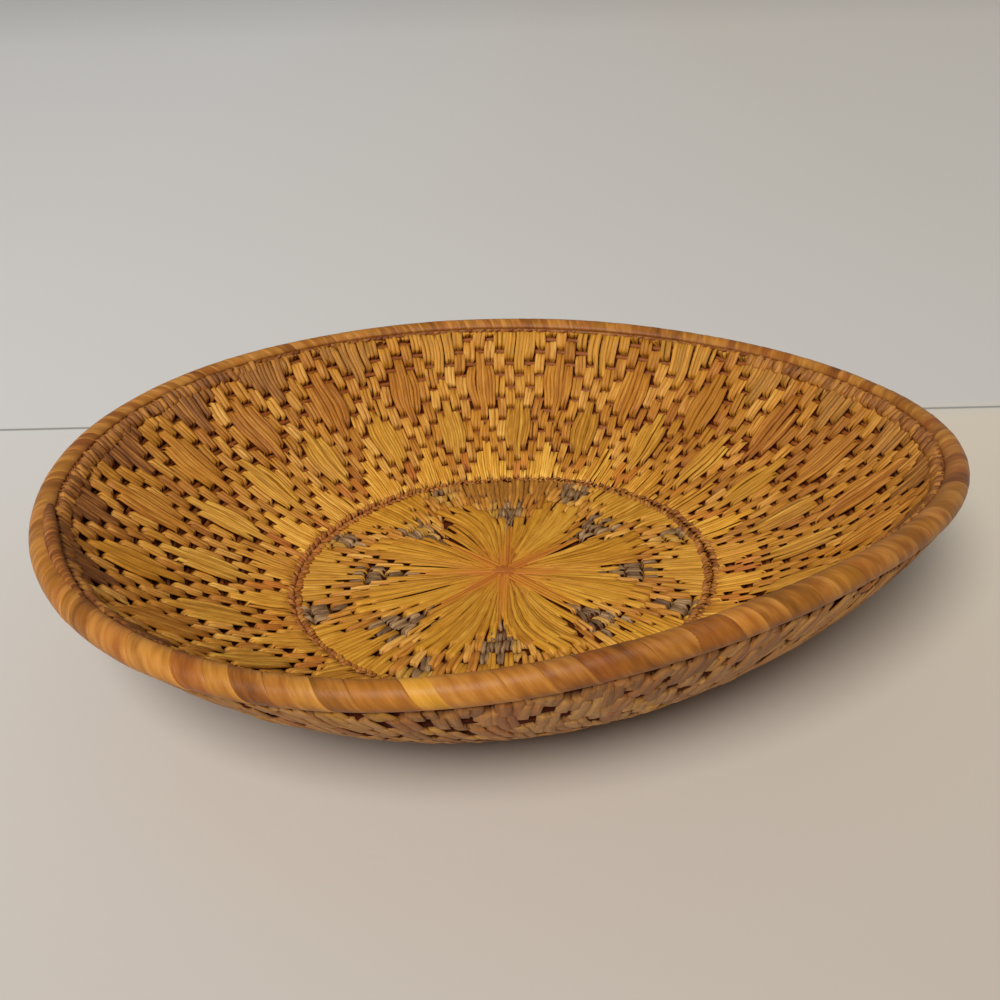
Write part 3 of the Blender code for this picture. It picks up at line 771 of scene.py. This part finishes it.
def make_cores():
    """The grass cores of the wall and the floor: each is one cord, wound row on row."""
    guides = Guides()
    theta, row, taper, tone = wound(WALL_ROWS, 120)
    points, normal = WALL.by_row(theta, row, WALL_COIL_DEPTH)
    guides.add(points, -normal, WALL_COIL_SHARE * WALL.pitch(theta) * taper, tone)
    keep(weave("wall_core", guides, "core", 10, 1.0, 1.0), "coil_grass", "wall_coil")

    guides = Guides()
    theta, ring, taper, tone = wound(FLOOR_ROWS, 96)
    points, normal = floor_place(theta, ring, FLOOR_COIL_HEIGHT)
    guides.add(points, normal, FLOOR_COIL_RADIUS * taper, tone)
    piece = weave("floor_core", guides, "core", 10, FLOOR_COIL_FLATNESS, FLOOR_COIL_FLATNESS)
    keep(piece, "coil_grass", "floor_coil")

    beds = Guides()
    theta = np.linspace(0, TURN, 241)
    for along, depth, radius in BORDER_BEDS:
        beds.add(*WALL.place(theta, along, depth), radius, BED_TONE)
    beds.add(*WALL.by_row(theta, WALL_ROWS + 0.2, WALL_COIL_DEPTH), COLLAR_BED_RADIUS, BED_TONE)
    keep(weave("cord_beds", beds, "core", 8, 1.0, 0.8), "coil_grass")

    valleys = Guides()
    for line in range(WALL_ROWS + 1):
        points, normal = WALL.by_row(theta, line, VALLEY_DEPTH)
        valleys.add(points, -normal, VALLEY_RADIUS, 0.3, 0.35, 0.0, 0.3)
    keep(weave("valley_grass", valleys, "cord", 8, 1.0, 1.0), "coil_grass")


PETAL_ENDS = (8, 7, 8, 7, 6, 5, 6, 5, 4)  # rings at which a petal's columns end, from its middle outwards
PETAL_STRANDS = 32
PETAL_FIRST = 2.6 * MM  # from the middle, where the first strands of a petal begin
PETAL_MOUTH = 16 * MM  # where all of them have begun
PETAL_HIGH = 20 * MM  # where they have risen
PETAL_OPEN = 34 * MM  # where they fill their part of the floor
PETAL_RED = 42 * MM  # the length over which red fades from full to none
PETAL_BOW = 56 * MM  # the length over which they bow
PETAL_HALF = 0.75 * MM  # half a strand's width near the middle
BAND_COLUMN = 6.6  # from here on, the strands lie in the narrow band between two petals
BAND_STEP = 1.5 * MM  # across a band, for each column
BAND_FIRST = 1.2 * MM  # from the middle, where a band's strands begin
BAND_LOW = 26 * MM  # where they have come down
BAND_RED = 58 * MM  # the length over which their red fades from full to none
BAND_HALF = 0.78 * MM  # half a strand's width
FAN_STARTS = (8, 7, 8, 9, 8, 9, 10)
FLOOR_END = 10.95  # rings, under the border cord
GREY_LENGTH = 1.15  # rings that a grey stitch passes over
FAN_FINISHES = ("olive", "dull", "gold", "olive", "gold", "gold", "gold", "olive")


def turned_order(index):
    """Index with its five bits turned round, so that numbers in order are spread out evenly."""
    return int(format(index, "05b")[::-1], 2)


def petal_spots(start, end):
    """Rings at which a petal's strand has its points."""
    near, far = start + np.array([0, 0.25, 0.7]), end - np.array([0.2, 0.08, 0])
    return np.concatenate([near, np.linspace(start + 1.3, end - 0.45, 7), far])


def make_petal(guides, rng, axis, step):
    """One petal, and at its two sides half of the bands that cross the middle between the petals."""
    sway = np.clip(rng.normal(0, 0.14), -0.15, 0.15)
    group_tones, group_bends = rng.random(PETAL_STRANDS), rng.normal(0, 0.34, PETAL_STRANDS)
    for index in range(PETAL_STRANDS):
        q = (index + 0.5) * COLUMNS_PER_PETAL / PETAL_STRANDS - COLUMNS_PER_PETAL / 2
        end = PETAL_ENDS[round(abs(q))] - 0.05 + rng.normal(0, 0.06)
        in_band = abs(q) > BAND_COLUMN
        begin = max(PETAL_FIRST, PETAL_MOUTH * turned_order(index) / PETAL_STRANDS)
        if in_band:
            begin = BAND_FIRST
        ring = petal_spots((begin - FLOOR_START) / RING_PITCH, end)
        radius = FLOOR_START + ring * RING_PITCH
        last = np.clip((ring - end + 0.25) / 0.25, 0, 1) ** 2
        if in_band:
            side = math.copysign(1, q)
            edge = axis + side * step * COLUMNS_PER_PETAL / 2
            offset = -side * (COLUMNS_PER_PETAL / 2 - abs(q)) * BAND_STEP + rng.normal(0, 0.15) * MM
            theta = edge + np.arctan(offset / radius)
            rise = 0.95 - 0.6 * np.clip(radius / BAND_LOW, 0, 1) + rng.normal(0, 0.07)
            half = np.full(len(radius), BAND_HALF)
            warm = np.clip(0.9 - radius / BAND_RED, 0.25, 0.75)
        else:
            closing = 0.86 + 0.14 * np.clip(radius / PETAL_OPEN, 0, 1)
            bow = np.sin(np.clip(radius / PETAL_BOW, 0, 1) * math.pi)
            wander = (group_bends[index // 3] + rng.normal(0, 0.12)) * bow
            theta = axis + step * (q * closing + wander) + sway * (1 - (q / 9) ** 2) * bow
            first = np.clip(1 - (ring - ring[0]) / 0.7, 0, 1)
            rise = 0.15 + 0.85 * (1 - (q / 7.5) ** 2) * np.clip(radius / PETAL_HIGH, 0, 1)
            rise = rise + rng.normal(0, 0.12) - 0.7 * first
            half = np.maximum(step * radius * 0.6, PETAL_HALF) * (1 - 0.4 * first)
            half = half * (1 + rng.normal(0, 0.15))
            warm = np.clip(0.55 - radius / PETAL_RED, 0, 0.5)
        points, normal = floor_top(theta, ring, (rise * (1 - last) - 2.0 * last) * MM)
        tone = 0.6 * group_tones[index // 3] + 0.4 * rng.random()
        guides.add(points, normal, half * (1 - 0.35 * last), tone, warm, 0.3 * rng.random(), last * 0.6)


def floor_gap_stitches(side, fan_start):
    """The short stitches of a column between the petals: (low ring, high ring, patch)."""
    low = PETAL_ENDS[COLUMNS_PER_PETAL // 2 - side]
    while low < min(fan_start, FLOOR_END - SHORTEST_STITCH):
        high = min(low + 2, FLOOR_END)
        middle = (low + high) / 2
        if side <= 2 and 4.5 <= middle <= 7:
            yield low, high, "inner"
        elif side >= 7 and middle >= 8.5:
            yield low, high, "outer"
        else:
            yield low, high, "rest"
        low += 2


def make_floor():
    """The floor's face: petals and fans of long strands, with short stitches and grey patches between."""
    rng = np.random.default_rng(5)
    sector = TURN / PETALS
    step = sector / COLUMNS_PER_PETAL
    rest = Guides()
    flat = {"strands": 2, "spread": 0.52, "inset": 0.05, "reach": 0.2}
    short = Stitch(half=0.38, lift=0.35 * MM, loose=0.09, lean_scatter=0.2, shade=0.5, **flat)
    long = Stitch(half=0.33, lift=0.45 * MM, pillow=0.1, lean_scatter=0.12, tone_scatter=0.2, **flat)
    grey = Stitch(half=0.36, lift=0.3 * MM, loose=0.1, lean_scatter=0.5, tone_scatter=0.3, shade=0.5, **flat)
    for number in range(1, PETALS + 1):
        axis = PETAL_TURN + sector * (number - 1)
        strands, fan = Guides(), Guides()
        patches = {"inner": Guides(), "outer": Guides(), "rest": rest}
        make_petal(strands, rng, axis, step)
        gap_axis = axis + sector / 2
        fan_tone = rng.uniform(0.35, 0.65)
        long.lean = rng.normal(0, 0.6)
        for q in range(-COLUMNS_PER_PETAL // 2, COLUMNS_PER_PETAL // 2):
            theta = gap_axis + step * q
            side = abs(q)
            fan_start = FLOOR_END
            if side < len(FAN_STARTS):
                fan_start = FAN_STARTS[side]
                long.lay(fan, rng, floor_top, theta, fan_start, FLOOR_END, step, fan_tone, 0.0, 0.15)
            for low, high, patch in floor_gap_stitches(side, fan_start):
                if patch == "rest":
                    warm, gilt = 0.15 * rng.random(), 0.2 * rng.random()
                    short.lay(rest, rng, floor_top, theta, low, high, step, None, warm, gilt)
                    continue
                gilt = 0.45 * (rng.random() < 0.2)
                for start in np.arange(low, high - SHORTEST_STITCH, 1.0):
                    end = min(start + GREY_LENGTH, high)
                    grey.lay(patches[patch], rng, floor_top, theta, start, end, step, None, 0.0, gilt)
        piece = weave(f"petal_strands_{number}", strands, "gold", 6, 0.4)
        keep(piece, "golden_stitches", f"petal_stitches_{number}")
        piece = weave(f"floor_fan_strands_{number}", fan, FAN_FINISHES[number - 1])
        keep(piece, "golden_stitches", f"floor_fan_stitches_{number}")
        for patch in ("inner", "outer"):
            piece = weave(f"{patch}_grey_strands_{number}", patches[patch], "grey")
            keep(piece, "mauve_grey_stitches", f"{patch}_grey_stitches_{number}")
    keep(weave("floor_short_stitches", rest, "short"), "golden_stitches")


UNDER_STITCH_WIDTH = 4.2 * MM


def make_underside():
    """The floor seen from below: short stitches that run outwards, laid like bricks."""
    rng = np.random.default_rng(13)
    guides = Guides()
    look = Stitch(strands=2, spread=0.52, half=0.38, lift=0.3 * MM, sink=2.0 * MM, pillow=0.05)
    look.lean_scatter = 0.25
    for low in range(FLOOR_ROWS):
        radius = FLOOR_START + (low + 1) * RING_PITCH
        count = 2 * max(5, round(math.pi * radius / UNDER_STITCH_WIDTH))
        for index in range(low % 2, count, 2):
            high = min(low + 2, FLOOR_ROWS + 0.4)
            look.lay(guides, rng, floor_below, TURN * index / count, low, high, TURN / count)
    keep(weave("underside_stitches", guides, "back", 6, 0.34, 0.3), "coil_grass")


KNOT_REACH = 5.2 * MM
KNOT_STEP = 0.75 * MM  # from strand to strand
KNOT_HALF = 0.6 * MM
KNOT_LIFT = 1.15 * MM  # over the floor's strands, at the middle
KNOT_LAYER = 0.06 * MM  # from one crossing strand to the next
KNOT_FALL = 0.55 * MM  # of the strands' ends


def make_knot():
    """The start of it all: a few flat strands that cross at the middle, in line with the bands."""
    rng = np.random.default_rng(17)
    guides = Guides()
    reach = np.linspace(-KNOT_REACH, KNOT_REACH, 11)
    for line in (2, 0, 3, 1):
        theta = PETAL_TURN + TURN / PETALS * (line + 0.5)
        out = outwards_at(np.array(theta))
        side = np.array([-out[1], out[0], 0])
        for place in (-1, 0, 1):
            points = out * reach[:, None] + side * (KNOT_STEP * place + rng.normal(0, 0.12) * MM)
            fall = KNOT_FALL * np.abs(reach / KNOT_REACH) ** 3
            points[:, 2] = FLOOR_STRAND_HEIGHT + KNOT_LIFT + KNOT_LAYER * line - fall
            normal = np.tile([0.0, 0.0, 1.0], (len(reach), 1))
            guides.add(points, normal, KNOT_HALF, 0.2 + 0.5 * rng.random(), 0.6, 0.0, 0.1)
    keep(weave("knot_strands", guides, "orange", 6, 0.4), "red_brown_cord", "start_knot")


BORDER_BEADS = 240
BORDER_FOOT = 0.6 * MM  # up the wall, to the middle of the lower row
BORDER_ROW_STEP = 3.1 * MM  # to the upper row, where the cord is full
BEAD_REACH = 1.75 * MM  # half a bead's length up the wall
BEAD_HALF = 1.0 * MM  # half its width


def make_border():
    """The border cord: two thin rows of small slanted turns, uneven as hand work is."""
    rng = np.random.default_rng(19)
    guides = Guides()
    step = TURN / BORDER_BEADS
    spots = np.linspace(-1, 1, 7)
    dips = np.abs(spots) ** 3
    for row, lean in ((0, 1), (1, -1)):
        for index in range(BORDER_BEADS):
            middle = step * (index + 0.5 * row + rng.normal(0, 0.14))
            full = fullness(middle)
            theta = middle + lean * spots * (0.5 + rng.normal(0, 0.2)) * step
            along = BORDER_FOOT + (BORDER_ROW_STEP * row + BEAD_REACH * spots) * full
            along = along + rng.normal(0, 0.22) * MM
            height = (0.2 + 0.5 * full - 1.4 * dips + rng.normal(0, 0.16)) * MM
            points, normal = WALL.place(theta, along, -height)
            half = (BEAD_HALF + rng.normal(0, 0.14) * MM) * (1 - 0.35 * spots**2) * (0.45 + 0.55 * full)
            warm = 0.5 * np.clip(math.cos(middle - math.radians(165)), 0, 1) * rng.random()
            guides.add(points, -normal, half, rng.random(), warm, 0.15 * rng.random(), dips * 0.6)
    keep(weave("border_strands", guides, "cord"), "red_brown_cord", "border_cord")


class Wrapping(Guides):
    """Flat strips that lie close on a roll, each a thin closed sheet whose edge laps low over the next."""

    VALUES = ("across", *Guides.VALUES)
    ACROSS = np.array([-1.0, -0.9, -0.45, 0.0, 0.45, 0.9, 1.0])
    LAP = 0.06 * MM
    THICKNESS = 0.7 * MM

    def add(self, place, theta, turn, radius, width, tone, warm=0.0, gilt=0.0, shade=0.0):
        """Adds a strip along a path of angles, turns and radii on the roll that place gives points on."""
        across = np.concatenate([self.ACROSS, self.ACROSS[::-1]])
        upper = np.concatenate([np.ones(len(self.ACROSS)), np.zeros(len(self.ACROSS))])
        lift = self.LAP * (across - np.abs(across) ** 8) * upper - self.THICKNESS * (1 - upper)
        angles = theta[:, None] + across * width / 2
        reach = np.broadcast_to(radius, len(theta))[:, None] + lift
        points, _ = place(angles, np.broadcast_to(turn[:, None], angles.shape), reach)
        rings, ring = points.shape[:2]
        index = self.count + np.arange(rings * ring).reshape(rings, ring)
        near, far = index[:-1], index[1:]
        sides = np.stack([near, far, np.roll(far, -1, axis=1), np.roll(near, -1, axis=1)], axis=-1)
        self.joins += sides.reshape(-1, 4).tolist()
        for end, way in ((index[0], 1), (index[-1], -1)):
            for j in range(ring // 2 - 1):
                self.joins.append([end[j], end[j + 1], end[-2 - j], end[-1 - j]][::way])
        run = np.abs(turn - turn[0]) * np.mean(radius)
        given = {"across": across, "half": width * RIM_RADIUS / 2, "run": run[:, None], "tone": tone}
        given.update(warm=warm, gilt=gilt, shade=np.broadcast_to(shade, len(theta))[:, None])
        for name, value in given.items():
            self.values[name].append(np.broadcast_to(value, (rings, ring)).ravel())
        self.points.append(points.reshape(-1, 3))
        self.count += rings * ring

    def piece(self, name, finish):
        """The strips so far, as one mesh."""
        mesh = bpy.data.meshes.new(name)
        mesh.from_pydata(np.concatenate(self.points).tolist(), [], self.joins)
        write_values(mesh, self.values)
        mesh.shade_smooth()
        mesh.materials.append(FINISHES[finish])
        return put(name, mesh)


STRIP_WIDTH = 7.2 * MM  # at the left and the right
STRIP_WIDTH_CHANGE = 2.4 * MM  # from there to the front or the back
STRIP_SLANT = 13 * MM  # along the rim, over a strip's whole turn
STRIP_SLANT_CHANGE = 5 * MM
STRIP_LAP = 1.25  # a strip's width, as a multiple of its share of the roll
PALE_STRIP_AT = math.radians(262)
TAIL_FROM = math.radians(192)
TAIL_TO = math.radians(222)
TAIL_TURN = math.radians(-78)
TAIL_STRIPS = 26
TAIL_OFF = 2.2 * MM  # from the roll's middle to that of the tail, where it is thin
TAIL_OFF_MORE = 2.6 * MM  # added where it is full
TAIL_RADIUS = 1.2 * MM
TAIL_RADIUS_MORE = 1.1 * MM


def tail_fullness(theta):
    """How thick the coil's tail is beside the roll at an angle, from 0 to 1."""
    share = (theta - TAIL_FROM) / (TAIL_TO - TAIL_FROM)
    return np.clip(np.minimum(share * 4, (1 - share) * 1.6), 0, 1) ** 0.7


def roll_radius(theta):
    """The roll's radius, which is a little uneven."""
    return ROLL_RADIUS * (1 + 0.02 * np.sin(5 * theta + 1) + 0.015 * np.sin(11 * theta))


def strip_places(rng):
    """Where the rim's strips lie round it and how wide each is: broadest at the front."""
    widths, total = [], 0.0
    while total < TURN:
        width = (STRIP_WIDTH - STRIP_WIDTH_CHANGE * math.sin(total)) * (1 + rng.normal(0, 0.2)) / RIM_RADIUS
        widths.append(width)
        total += width
    widths = np.array(widths) * TURN / total
    return zip(np.cumsum(widths) - widths / 2, widths)


def make_roll():
    """The rim roll: a grass core with broad, low-lapped strips wound slantwise over it."""
    rng = np.random.default_rng(23)
    core = Guides()
    theta = np.linspace(0, TURN, 361)
    core.add(*WALL.by_roll(theta, 0.0, 0.0), ROLL_CORE_RADIUS, BED_TONE)
    keep(weave("rim_roll_core", core, "core", 12, 1.0, 1.0), "coil_grass", "rim_core")

    strips = Wrapping()
    spots = np.linspace(0, 1, 25)
    for middle, width in strip_places(rng):
        slant = STRIP_SLANT - STRIP_SLANT_CHANGE * math.sin(middle) + rng.normal(0, 0.5) * MM
        theta = middle + (spots - 0.5) * slant / RIM_RADIUS
        pale = abs(middle - PALE_STRIP_AT) < width / 2
        # strips on the left get a lighter tone: painted light on the side of the roll that the window lights
        tone = 1.0 if pale else rng.random() + 0.4 * max(-math.cos(middle), 0)
        # painted shade on each strip's ends, where they run into the groove by the collar
        end_shade = np.clip(np.abs(spots - 0.5) * 8 - 3.5, 0, 0.5)
        radius = roll_radius(theta) + rng.normal(0, 0.03) * MM
        warm, gilt = 0.25 * rng.random() ** 2, 0.15 * rng.random() + 0.3 * pale
        turn = COLLAR_TURN + TURN * spots
        strips.add(WALL.by_roll, theta, turn, radius, width * STRIP_LAP, tone, warm, gilt, end_shade)
    keep(strips.piece("rim_strips", "rim"), "rim_wrapping", "rim_wrap")


def tail_place(theta, turn, reach):
    """Points round the middle of the coil's tail, as by_roll gives them round the roll's."""
    centre, _ = WALL.by_roll(theta, TAIL_TURN, TAIL_OFF + TAIL_OFF_MORE * tail_fullness(theta))
    middle, _ = WALL.by_roll(theta, turn, 0.0)
    points, normal = WALL.by_roll(theta, turn, reach)
    return points + centre - middle, normal


def make_tail():
    """The coil's tapered end, wrapped like the roll, which runs out beside it at the left."""
    rng = np.random.default_rng(29)
    strips = Wrapping()
    spots = np.linspace(0, 1, 19)
    step = (TAIL_TO - TAIL_FROM) / TAIL_STRIPS
    for index in range(TAIL_STRIPS):
        middle = TAIL_FROM + step * (index + 0.5 + rng.normal(0, 0.1))
        theta = middle + (spots - 0.5) * step * 1.4
        radius = TAIL_RADIUS + TAIL_RADIUS_MORE * tail_fullness(theta)
        # painted shade on each strip's two ends, where they run in beside the roll
        end_shade = np.clip(np.abs(spots - 0.5) * 6 - 1.2, 0, 0.7)
        turn = TAIL_TURN + (spots - 0.5) * TURN
        tone, warm = 0.6 * rng.random(), 0.1 * rng.random()
        strips.add(tail_place, theta, turn, radius, step * STRIP_LAP, tone, warm, 0.0, end_shade)
    keep(strips.piece("tail_strips", "rim"), "rim_wrapping")


COLLAR_TICKS = 300
COLLAR_REACH = 4.5 * MM  # from the roll's middle


def make_collar():
    """The hatched cord in the groove between the roll and the wall, darkened with painted shade as the
    groove's shadow.
    """
    rng = np.random.default_rng(31)
    guides = Guides()
    spots = np.linspace(-1, 1, 7)
    step = TURN / COLLAR_TICKS
    for index in range(COLLAR_TICKS):
        middle = step * (index + rng.normal(0, 0.15))
        full = tail_fullness(middle)
        theta = middle + spots * 0.8 * step
        turn = COLLAR_TURN - 0.2 - 0.25 * full - spots * 0.26
        back = max(math.sin(middle), 0)
        reach = COLLAR_REACH + (1.3 * full - 0.4 * back - 1.2 * spots**4 + rng.normal(0, 0.12)) * MM
        points, normal = WALL.by_roll(theta, turn, reach)
        half = step * RIM_RADIUS * (0.27 - 0.06 * back + rng.normal(0, 0.04))
        # painted shade of the groove on every tick, more towards the tick's ends
        guides.add(points, normal, half, rng.random(), 0.05, 0.0, 0.45 + np.abs(spots) ** 3 * 0.5)
    keep(weave("collar_strands", guides, "cord"), "red_brown_cord", "collar_cord")


# The camera, the table and the light
LENS = 44.57
SENSOR_WIDTH = 36
CAMERA_REACH = 462.8 * MM
CAMERA_RISE = math.radians(30.1)
CAMERA_ROLL = math.radians(-1.78)
CAMERA_SHIFT = (-0.0048, 0.0883)


def make_camera():
    data = bpy.data.cameras.new("camera")
    data.lens = LENS
    data.sensor_width = SENSOR_WIDTH
    data.shift_x, data.shift_y = CAMERA_SHIFT
    data.clip_start = 0.01
    camera = put("camera", data)
    tilt = Matrix.Rotation(math.pi / 2 - CAMERA_RISE, 4, "X")
    roll = Matrix.Rotation(CAMERA_ROLL, 4, "Z")
    camera.matrix_world = tilt @ roll @ Matrix.Translation((0, 0, CAMERA_REACH))
    bpy.context.scene.camera = camera


TABLE_END = 165 * MM
TABLE_REACH = 30.0
TABLE_SKEW = 0.02  # the far edge isn't quite square to the camera
# Painted shade: the colour of the thin dark line along the table's far edge, where it meets the wall
SEAM_SHADE = srgb(150, 147, 140)
LINE_RATE = 900.0  # the painted shade line begins at the edge and is about 2 mm broad
SIDE_RATE = 1.5  # to a metre, from the left's colours to the right's
RAMP_RATE = 0.3  # a ramp's middle is the edge, and its end is 1.7 m past it
# The ramps lighten with distance past the edge, as painted light that makes up for the lamp's fall-off over
# the far wall. Near the basket the right side is darker and warmer: painted shade, warmed by painted light
# thrown back from the basket
LEFT_STOPS = [
    (0.395, srgb(204, 198, 191)), (1.0, srgb(255, 252, 248)), (0.498, srgb(214, 211, 207)),
    (0.502, srgb(215, 212, 208)), (0.64, srgb(224, 220, 215)),
]
RIGHT_STOPS = [
    (0.395, srgb(182, 168, 150)), (1.0, srgb(250, 242, 230)), (0.498, srgb(213, 200, 175)),
    (0.502, srgb(202, 197, 189)), (0.64, srgb(215, 209, 199)),
]


def make_table():
    """One wide pale floor. Past the table's far edge it has the colour of the wall behind, lightened with
    distance by painted light; along that edge runs a line of painted shade.
    """
    mesh = bpy.data.meshes.new("table")
    corners = [(x * TABLE_REACH, y * TABLE_REACH, 0) for x, y in ((-1, -1), (1, -1), (1, 1), (-1, 1))]
    mesh.from_pydata(corners, [], [(0, 1, 2, 3)])
    table = put("table", mesh)
    material, tree, shader = new_material("pale_table")
    place = add_node(tree, "ShaderNodeTexCoord", {}, {}, 3)
    across = add_node(tree, "ShaderNodeSeparateXYZ", {}, {"Vector": place})
    depth = Wire(tree, across.socket.node.outputs[1])
    past = depth + across * TABLE_SKEW - TABLE_END
    level = past * RAMP_RATE + 0.5
    left, right = (
        add_node(tree, "ShaderNodeValToRGB", {"stops": stops}, {"Fac": level})
        for stops in (LEFT_STOPS, RIGHT_STOPS)
    )
    pale = (across * SIDE_RATE + 0.5).most(0.0).least(1.0).mix(left, right)
    on_seam_shade = (1.6 - abs(past * LINE_RATE - 1.0)).most(0.0).least(1.0)
    colour = on_seam_shade.mix(pale, (*SEAM_SHADE, 1))
    tree.links.new(colour.socket, shader.inputs["Base Color"])
    shader.inputs["Roughness"].default_value = 0.6
    mesh.materials.append(material)


WINDOW_PLACE = (-0.72, -2.47, 2.7)
WINDOW_SIZE = 1.85
WINDOW_POWER = 150
ROOM_STRENGTH = 0.235


def make_light():
    """A broad window in front and a little to the left, and the light of a pale room."""
    data = bpy.data.lights.new("window", "AREA")
    data.shape = "DISK"
    data.size = WINDOW_SIZE
    data.energy = WINDOW_POWER
    window = put("window", data)
    window.location = WINDOW_PLACE
    window.rotation_euler = (-Vector(WINDOW_PLACE)).to_track_quat("-Z", "Y").to_euler()
    world = bpy.data.worlds.new("room")
    world.use_nodes = True
    sky = world.node_tree.nodes["Background"].inputs
    sky["Color"].default_value = (1.0, 0.99, 0.98, 1)
    sky["Strength"].default_value = ROOM_STRENGTH
    bpy.context.scene.world = world


bpy.context.scene.view_settings.view_transform = "Standard"
make_camera()
make_cores()
make_inside()
make_outside()
make_floor()
make_underside()
make_knot()
make_border()
make_roll()
make_tail()
make_collar()
make_table()
make_light()
